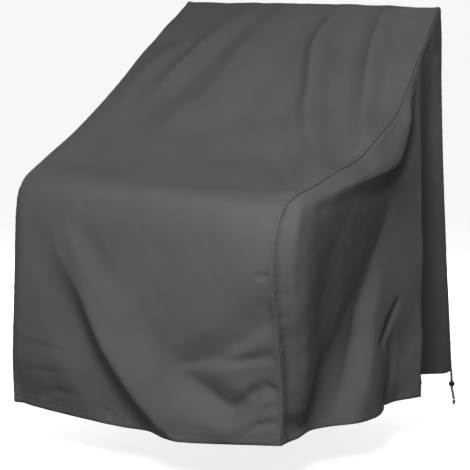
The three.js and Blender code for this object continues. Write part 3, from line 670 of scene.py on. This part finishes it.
# The three panels are charcoal polyester in a plain weave, coated on the back to shed water. Their
# edges are turned in at the seams and turned up inside as a hem 22 mm deep. Each row of HEM_TURNED
# is how high the turned cloth lies and how deep inside. YARN_PITCH is in metres, as the UVs are.
CLOTH_THICKNESS = 1.1
SEAM_TURNED, SEAM_HALF_GAP = (1.4, 4.5, 9), 0.12
HEM_TURNED = ((0.8, 2.2), (4, 3.6), (13, 3.8), (22, 3.2))
INSET = 0.004
WEAR_AND_SHADE_REACH, CREST_WEAR_AT, CREST_WEAR_SPREAD, UNWORN = 5, 3, 2, 10
SIDE_DEPTH, SIDE_REAR_HEIGHT, SIDE_MEAN_HEIGHT = 840, 1000, 800
YARN_PITCH = 0.0011
CHARCOAL_DARK, CHARCOAL_LIGHT = (0.066, 0.066, 0.068, 1), (0.112, 0.112, 0.114, 1)
# SEAM_PAINTED_SHADE is painted shade: near-black mixed into the cloth within about 1.5 mm of each
# seam and hem edge.
SEAM_PAINTED_SHADE, PAINTED_SHADE_FROM, PAINTED_SHADE_SLOPE = (0.016, 0.016, 0.016, 1), 0.91, 10


def crowded(length, first, last, coarse, reach):
    """Places from 0 to length: short steps at both ends that grow to coarse ones between."""
    places = [0.0]
    while places[-1] < length:
        start, end = places[-1], length - places[-1]
        places.append(start + min(mix(first, coarse, smooth(start / reach)),
                                  mix(last, coarse, smooth(end / reach))))
    return np.array(places) * length / places[-1]


def seam_line(side, run):
    """The seam of a side: its points, the way into the cover there, and the way to that side."""
    def inside(share):
        return np.clip(share, INSET, 1 - INSET)

    across = (side + 1) / 2
    back = (run - EDGE_RUN) / (TOP_RUN - EDGE_RUN)
    up = np.minimum(run / EDGE_RUN, (END_RUN - run) / (END_RUN - TOP_RUN))
    inner = outward(strip_base, inside(across), run, INSET, RUN_STEP) + side * outward(
        lambda a, b: side_base(side, a, b), inside(back), inside(up), INSET, INSET)
    inner /= -np.linalg.norm(inner, axis=-1, keepdims=True)
    points = strip_base(across, run)
    apart = np.cross(np.gradient(points, axis=0), inner)
    apart *= side * np.sign(apart[..., :1]) / np.linalg.norm(apart, axis=-1, keepdims=True)
    return points, inner, apart


def turned_edge(side, run, way):
    """The rows of cloth that are turned in at a seam, from the seam inwards."""
    points, inner, apart = seam_line(side, run)
    return [points + inner * depth + apart * way * SEAM_HALF_GAP for depth in SEAM_TURNED]


def cloth_sheet(points, uvs, edges, flipped=False):
    """A sheet from a grid of points in millimetres. Places without a point are left out. edges is
    how far each place is from the nearest edge that rubs; it sets the scuffing there and the
    painted shade close to seams and hems."""
    columns, rows = points.shape[0] - 1, points.shape[1] - 1
    bm = bmesh.new()
    wear_and_shade_mask, uv = bm.verts.layers.float.new("wear_and_shade_mask"), bm.loops.layers.uv.new("UVMap")
    bmesh.ops.create_grid(bm, x_segments=columns, y_segments=rows, size=1)
    places = {v: (round((v.co.x + 1) / 2 * columns), round((v.co.y + 1) / 2 * rows))
              for v in bm.verts}
    for face in bm.faces:
        for loop in face.loops:
            loop[uv].uv = uvs[places[loop.vert]] / 1000
    held = held_frame(points)
    there = np.isfinite(held).all(axis=-1)
    for v, place in places.items():
        v.co = held[place] if there[place] else (0, 0, 0)
        v[wear_and_shade_mask] = math.exp(-(edges[place] / WEAR_AND_SHADE_REACH) ** 2)
    missing = [v for v, place in places.items() if not there[place]]
    bmesh.ops.delete(bm, geom=missing, context="VERTS")
    if flipped:
        bmesh.ops.reverse_faces(bm, faces=bm.faces)
    return bm


def framed(core, left, right, low, high):
    """A grid of points with rows of turned cloth on its four sides, and none at its corners."""
    columns, rows = core.shape[:2]
    grid = np.full((len(left) + columns + len(right), len(low) + rows + len(high), 3), np.nan)
    own = (slice(len(left), len(left) + columns), slice(len(low), len(low) + rows))
    grid[own] = core
    for step, row in enumerate(left):
        grid[len(left) - 1 - step, own[1]] = row
    for step, row in enumerate(right):
        grid[len(left) + columns + step, own[1]] = row
    for step, row in enumerate(low):
        grid[own[0], len(low) - 1 - step] = row
    for step, row in enumerate(high):
        grid[own[0], len(low) + rows + step] = row
    return grid


def strip_sheet():
    """The strip's cloth with both seam edges turned in and both hems turned up."""
    shares = crowded(2 * SEAM_X, first=1.3, last=1.3, coarse=7.6, reach=50) / (2 * SEAM_X)
    front = crowded(EDGE_RUN, first=1.6, last=4, coarse=6.6, reach=60)
    slope = crowded(TOP_RUN - EDGE_RUN, first=4, last=3, coarse=7.4, reach=60)
    back = crowded(END_RUN - TOP_RUN, first=3, last=1.8, coarse=11, reach=80)
    runs = np.concatenate([front, EDGE_RUN + slope[1:], TOP_RUN + back[1:]])
    hems = []
    for end, way in ((0, 1), (END_RUN, -1)):
        hems.append([strip_surface(shares, end + way * height) - depth * outward(
            strip_base, shares, end + way * height, ACROSS_STEP, RUN_STEP)
            for height, depth in HEM_TURNED])
    grid = framed(strip_surface(shares[:, None], runs[None, :]), turned_edge(-1, runs, -1),
                  turned_edge(1, runs, -1), *hems)
    turned, folded = np.array(SEAM_TURNED), np.array(HEM_TURNED)[:, 0]
    u = np.concatenate([-turned[::-1], shares * 2 * SEAM_X, 2 * SEAM_X + turned])
    v = np.concatenate([-folded[::-1], runs, END_RUN + folded])
    across, run = np.meshgrid(u, v, indexing="ij")
    edges = np.minimum(np.minimum(across, 2 * SEAM_X - across), np.minimum(run, END_RUN - run))
    for crest in (EDGE_RUN, TOP_RUN):
        edges = np.minimum(edges, CREST_WEAR_AT + np.abs(run - crest) / CREST_WEAR_SPREAD)
    return cloth_sheet(grid, np.stack([across, run], -1), np.abs(edges))


def side_sheet(side):
    """A side panel's cloth with its seam edges turned in and its hem turned up."""
    back = crowded(SIDE_DEPTH, first=1.8, last=1.8, coarse=6.6, reach=60) / SIDE_DEPTH
    up = crowded(SIDE_REAR_HEIGHT, first=1.8, last=2.4, coarse=8.4, reach=60) / SIDE_REAR_HEIGHT
    front, rear, over = (turned_edge(side, at, 1) for at in (
        up * EDGE_RUN, END_RUN - up * (END_RUN - TOP_RUN), mix(EDGE_RUN, TOP_RUN, back)))
    hem = []
    for height, depth in HEM_TURNED:
        share = np.full(back.shape, height / SIDE_MEAN_HEIGHT)
        out = side * outward(lambda a, b: side_base(side, a, b), back, share + INSET, INSET, INSET)
        hem.append(side_surface(side, back, share) - out * depth)
    grid = framed(side_surface(side, back[:, None], up[None, :]), front, rear, hem, over)
    from_front, from_rear, below = side_parts(side, back[:, None], up[None, :])[3:]
    edges = np.minimum(np.minimum(from_front, from_rear),
                       np.minimum(below, up[None, :] * SIDE_MEAN_HEIGHT))
    around = ((len(front), len(rear)), (len(hem), len(over)))
    edges = np.pad(np.abs(edges), around, constant_values=UNWORN)
    return cloth_sheet(grid, grid[..., 1:], edges, flipped=side < 0)


def cloth_finish():
    """Charcoal plain weave: yarns over and under, uneven dye, painted shade in a thin dark line
    along the seams and at the hem's edge, and a little scuffing where it rubs."""
    finish, start = new_finish("charcoal_weave")
    cloth = start.node("TexCoord", {}, output="UV")
    split = start.node("SeparateXYZ", {"Vector": cloth})
    warp, weft = ((place * (2 * math.pi / YARN_PITCH)).sine() for place in (split, split.other(1)))
    yarns = start.maths("MULTIPLY", warp, weft) * 0.5 + 0.5
    slub_u, slub_v = (
        start.node("TexNoise", {"Vector": start.node("Mapping", {"Vector": cloth, "Scale": scale}),
                                "Scale": 1.0, "Detail": 2})
        for scale in ((40, 900, 1), (900, 40, 1)))
    place = start.node("TexCoord", {}, output="Object")
    clouds = start.node("TexNoise", {"Vector": place, "Scale": 5, "Detail": 5, "Roughness": 0.6})
    wear_and_shade = start.node("Attribute", {}, output=2, attribute_name="wear_and_shade_mask")
    scuffs = start.node("TexNoise", {"Vector": place, "Scale": 70, "Detail": 4, "Roughness": 0.7})
    tone = (yarns * 0.12 + slub_u * 0.16 + slub_v * 0.16 + clouds * 0.7 - 0.1
            + wear_and_shade * (scuffs * 0.5 - 0.2))
    clean = start.node("Mix", {"Factor": tone, "A": CHARCOAL_DARK, "B": CHARCOAL_LIGHT},
                       data_type="RGBA", output=2)
    # Painted shade: a thin near-black line along every seam and the hem's edge, standing in for the
    # groove's shadow.
    painted_edge_shade = (wear_and_shade - PAINTED_SHADE_FROM) * PAINTED_SHADE_SLOPE
    colour = start.node("Mix", {"Factor": painted_edge_shade, "A": clean, "B": SEAM_PAINTED_SHADE}, data_type="RGBA",
                        output=2)
    relief = start.node("Bump", {"Strength": 0.5, "Distance": 0.00008,
                                 "Height": yarns + slub_u * 0.5 + slub_v * 0.5})
    surface = start.node("BsdfPrincipled", {"Base Color": colour, "Roughness": 0.72 + clouds * 0.18,
                                            "Normal": relief, "Specular IOR Level": 0.35})
    start.node("OutputMaterial", {"Surface": surface})
    return finish


def thickened(sheet):
    """The cloth's own thickness, added on the inside."""
    wall = sheet.modifiers.new("cloth_thickness", "SOLIDIFY")
    wall.thickness, wall.offset, wall.use_even_offset = CLOTH_THICKNESS / 1000, -1, False


charcoal = cloth_finish()
main = shown("main_panel_cloth", strip_sheet(), charcoal)
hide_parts("main_panel")
thickened(main)
side_cloths = {}
for side, panel in SIDES.items():
    side_cloths[side] = shown(panel.piece, side_sheet(side), charcoal)
    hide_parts(panel.node)
    thickened(side_cloths[side])

# All seams and hems are sewn in lockstitch with grey polyester thread, 4 mm a stitch: beside both
# side seams through the turned cloth, and 23 mm above the hem's edge right round. The thread lies
# on the cloth in the middle of each stitch and goes down through it at the ends.
STITCH_PITCH, THREAD_RADIUS, THREAD_SIDES, STITCH_STEP = 4, 0.42, 6, 0.8
THREAD_RISE, THREAD_SINK = 1.9, 1.3
STRIP_HEM_ENDS, SIDE_HEM_FROM, SIDE_HEM_TO, SIDE_HEM_LENGTH = 10, 12, 890, 900
JUST_UP = 0.03
THREAD_DARK, THREAD_LIGHT = (0.045, 0.045, 0.046, 1), (0.085, 0.085, 0.086, 1)


def thread_finish():
    """Grey polyester thread: two plies twisted, a little darker than the cloth."""
    finish, start = new_finish("grey_thread")
    place = start.node("TexCoord", {}, output="Object")
    plies = start.node("TexWave", {"Vector": place, "Scale": 1400, "Distortion": 1},
                       bands_direction="DIAGONAL", output=1)
    colour = start.node("Mix", {"Factor": plies, "A": THREAD_DARK, "B": THREAD_LIGHT},
                        data_type="RGBA", output=2)
    relief = start.node("Bump", {"Strength": 0.5, "Distance": 0.00006, "Height": plies})
    surface = start.node("BsdfPrincipled", {"Base Color": colour, "Roughness": 0.6 + plies * 0.1,
                                            "Normal": relief})
    start.node("OutputMaterial", {"Surface": surface})
    return finish


def sewn(bm, cloth, out, run):
    """A thread along points on the cloth, which goes down through it between its stitches."""
    height = np.sqrt(np.abs(np.sin(math.pi * run / STITCH_PITCH)))
    rise = THREAD_RADIUS * (THREAD_RISE * height - THREAD_SINK)
    braided_tube(bm, cloth + out * rise[:, None], THREAD_RADIUS, THREAD_SIDES)


def sewn_on_strip(bm, across, run, along):
    """A thread on the main panel, along a seam or a hem."""
    out = outward(strip_surface, across, run, ACROSS_STEP, RUN_STEP)
    sewn(bm, strip_surface(across, run), out, along)


def stitches(name, bm, node):
    """All stitches of one line as a piece that stands for a part of its panel."""
    piece = shown(name, bm, thread)
    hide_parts(node)
    return piece


thread = thread_finish()
bm = bmesh.new()
runs = np.arange(STITCH_FROM_HEM, END_RUN - STITCH_FROM_HEM, STITCH_STEP)
for across in (STITCH_FROM_SEAM / 2 / SEAM_X, 1 - STITCH_FROM_SEAM / 2 / SEAM_X):
    sewn_on_strip(bm, across, runs, runs)
seam_stitches = stitches("seam_stitches", bm, "main_panel")
bm = bmesh.new()
along = np.arange(STRIP_HEM_ENDS, 2 * SEAM_X - STRIP_HEM_ENDS, STITCH_STEP)
for run in (STITCH_FROM_HEM, END_RUN - STITCH_FROM_HEM):
    sewn_on_strip(bm, along / 2 / SEAM_X, np.full(along.shape, run), along)
hem_stitches = stitches("strip_hem_stitches", bm, "main_panel")
for side, panel in SIDES.items():
    bm = bmesh.new()
    along = np.arange(SIDE_HEM_FROM, SIDE_HEM_TO, STITCH_STEP)
    back = along / SIDE_HEM_LENGTH
    hem_z = mix(*(strip_base((side + 1) / 2, run)[2] for run in (0, END_RUN)), back)
    up = JUST_UP * STITCH_FROM_HEM / (side_parts(side, back, JUST_UP)[2] - hem_z)
    out = side * outward(lambda a, b: side_surface(side, a, b), back, up, ACROSS_STEP, ACROSS_STEP)
    sewn(bm, side_surface(side, back, up), out, along)
    stitches(panel.stitches, bm, panel.node)

# The studio is one big white room, which shows behind the cover but casts no light on it. A weak
# even light comes from all round. One softbox in front, to the right and above, brings out the
# folds, and two stand low behind. Angles are in degrees and distances in metres.
FLOOR_Z, STUDIO_SIZE, STUDIO_GREY, STUDIO_GLOW = -1.105, 110, (0.5, 0.5, 0.5, 1), 0.8
SKY_STRENGTH = 0.23
WHITE = (1, 1, 1, 1)
Softbox = namedtuple("Softbox", "name azimuth elevation distance wide watts")
SOFTBOXES = (Softbox("key_softbox", 26, 33, 2.6, 0.9, 59),
             Softbox("left_rear_softbox", -118, 5, 3, 1.4, 46),
             Softbox("rear_softbox", -172, 5, 3, 1.4, 46))

bm = bmesh.new()
bmesh.ops.create_cube(bm, size=STUDIO_SIZE)
bmesh.ops.translate(bm, verts=bm.verts, vec=(0, 0, FLOOR_Z + STUDIO_SIZE / 2))
bmesh.ops.reverse_faces(bm, faces=bm.faces)
floor_mesh = bpy.data.meshes.new("studio_floor")
bm.to_mesh(floor_mesh)
bm.free()
paint, start = new_finish("pale_floor")
pale = start.node("BsdfPrincipled", {"Base Color": STUDIO_GREY, "Roughness": 0.9,
                                     "Emission Color": WHITE, "Emission Strength": STUDIO_GLOW})
start.node("OutputMaterial", {"Surface": pale})
floor_mesh.materials.append(paint)
floor = bpy.data.objects.new("studio_floor", floor_mesh)
bpy.context.scene.collection.objects.link(floor)
floor.visible_diffuse = False
floor.visible_glossy = False

world = bpy.data.worlds.new("studio")
world.use_nodes = True
sky = world.node_tree.nodes["Background"].inputs
sky["Color"].default_value, sky["Strength"].default_value = WHITE, SKY_STRENGTH
bpy.context.scene.world = world
bpy.context.scene.view_settings.view_transform = "Standard"

for box in SOFTBOXES:
    light = bpy.data.lights.new(box.name, "AREA")
    light.energy, light.size = box.watts, box.wide
    stand = bpy.data.objects.new(box.name, light)
    azimuth, elevation = math.radians(box.azimuth), math.radians(box.elevation)
    way = Vector((math.sin(azimuth) * math.cos(elevation),
                  -math.cos(azimuth) * math.cos(elevation), math.sin(elevation)))
    stand.location = TARGET + way * box.distance
    stand.rotation_euler = way.to_track_quat("Z", "Y").to_euler()
    bpy.context.scene.collection.objects.link(stand)
